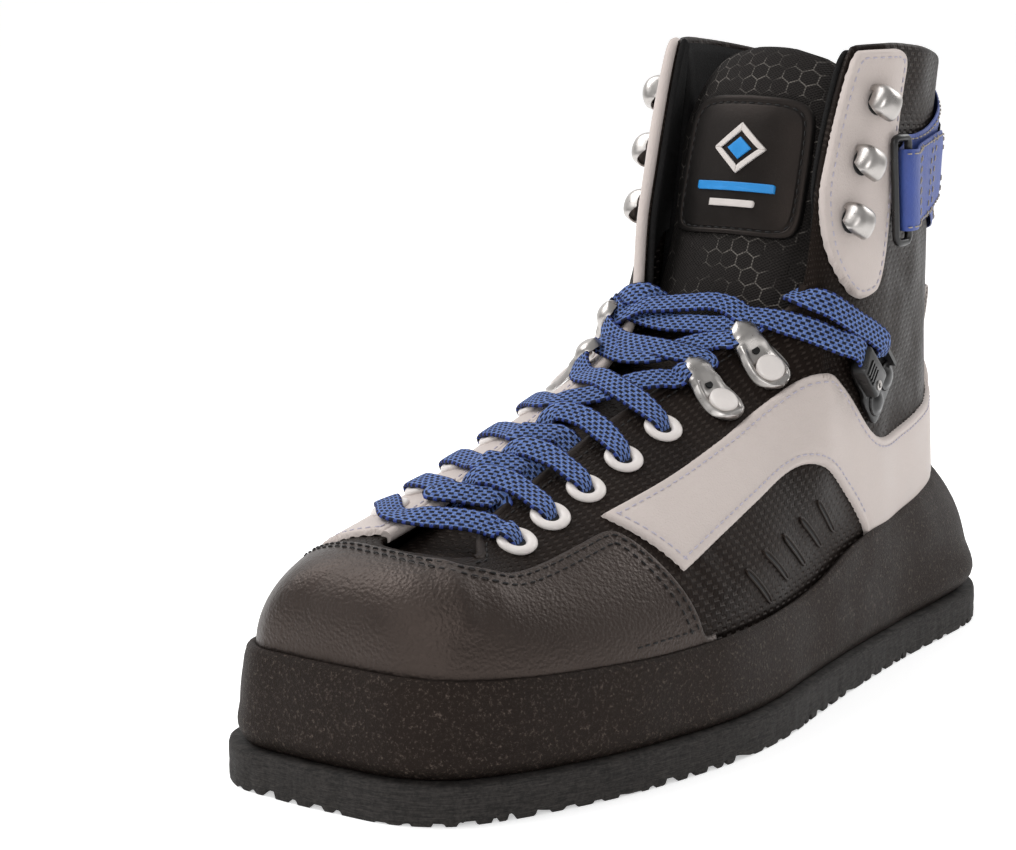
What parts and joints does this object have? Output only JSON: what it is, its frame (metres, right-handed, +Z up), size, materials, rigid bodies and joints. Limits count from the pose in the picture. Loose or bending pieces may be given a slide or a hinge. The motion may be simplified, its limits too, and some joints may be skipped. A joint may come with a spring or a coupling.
{
  "type": "shooting shoe",
  "caption": "High laced target-shooting shoe for the left foot: flat stiff sole under a tall moulded side wall, hollow leather upper with padded tongue, ankle strap and lace locks",
  "frame": {"origin": "on the floor under the middle of the sole's bounding box", "axes": "+X from the heel to the toe, +Y to the outer (lateral) side of the left foot, +Z up"},
  "size_m": [0.3006, 0.1118, 0.1895],
  "materials": {
    "rubber": "matte, ragged tread edge",
    "wall_foam": "fine sandy speckle",
    "insole_felt": "matte felt",
    "leather_black": "embossed with small dashes",
    "leather_grained": "pebbled grain",
    "leather_white": "satin grain, stitched edges",
    "leather_blue": "satin grain, stitched edges",
    "mesh_black": "padded mesh with a honeycomb",
    "badge_rubber": "moulded, bare",
    "webbing_white": "woven",
    "plastic_white": "satin",
    "plastic_black": "satin",
    "lace_blue": "flat braid with dark dashes",
    "steel": "satin"
  },
  "bodies": {
    "root": {"ankle_strap": "leather_blue", "eyelet_lateral_1": "plastic_white", "eyelet_lateral_2": "plastic_white", "eyelet_lateral_3": "plastic_white", "eyelet_lateral_4": "plastic_white", "eyelet_lateral_5": "plastic_white", "eyelet_medial_1": "plastic_white", "eyelet_medial_2": "plastic_white", "eyelet_medial_3": "plastic_white", "eyelet_medial_4": "plastic_white", "eyelet_medial_5": "plastic_white", "ghillie_lateral_1": "steel", "ghillie_lateral_2": "steel", "ghillie_medial_1": "steel", "ghillie_medial_2": "steel", "heel_pad": "mesh_black", "hook_flap_lateral": "leather_white", "hook_flap_medial": "leather_white", "insole": "insole_felt", "lace_ankle": "lace_blue", "lace_crossing_1": "lace_blue", "lace_crossing_2": "lace_blue", "lace_crossing_3": "lace_blue", "lace_crossing_4": "lace_blue", "lace_crossing_5": "lace_blue", "lace_crossing_6": "lace_blue", "lace_front_bar": "lace_blue", "lace_lock_lateral": "plastic_black", "lace_lock_medial": "plastic_black", "lock_rivet_lateral_1": "plastic_black", "lock_rivet_lateral_2": "plastic_black", "lock_rivet_medial_1": "plastic_black", "lock_rivet_medial_2": "plastic_black", "outsole": "rubber", "pull_tab": "webbing_white", "side_panel_lateral": "leather_white", "side_panel_medial": "leather_white", "side_wall": "wall_foam", "speed_hook_lateral_1": "steel", "speed_hook_lateral_2": "steel", "speed_hook_lateral_3": "steel", "speed_hook_medial_1": "steel", "speed_hook_medial_2": "steel", "speed_hook_medial_3": "steel", "strap_ring": "plastic_black", "toe_cap": "leather_grained", "tongue": "mesh_black", "tongue_badge": "badge_rubber", "upper": "leather_black"}
  },
  "joints": []
}
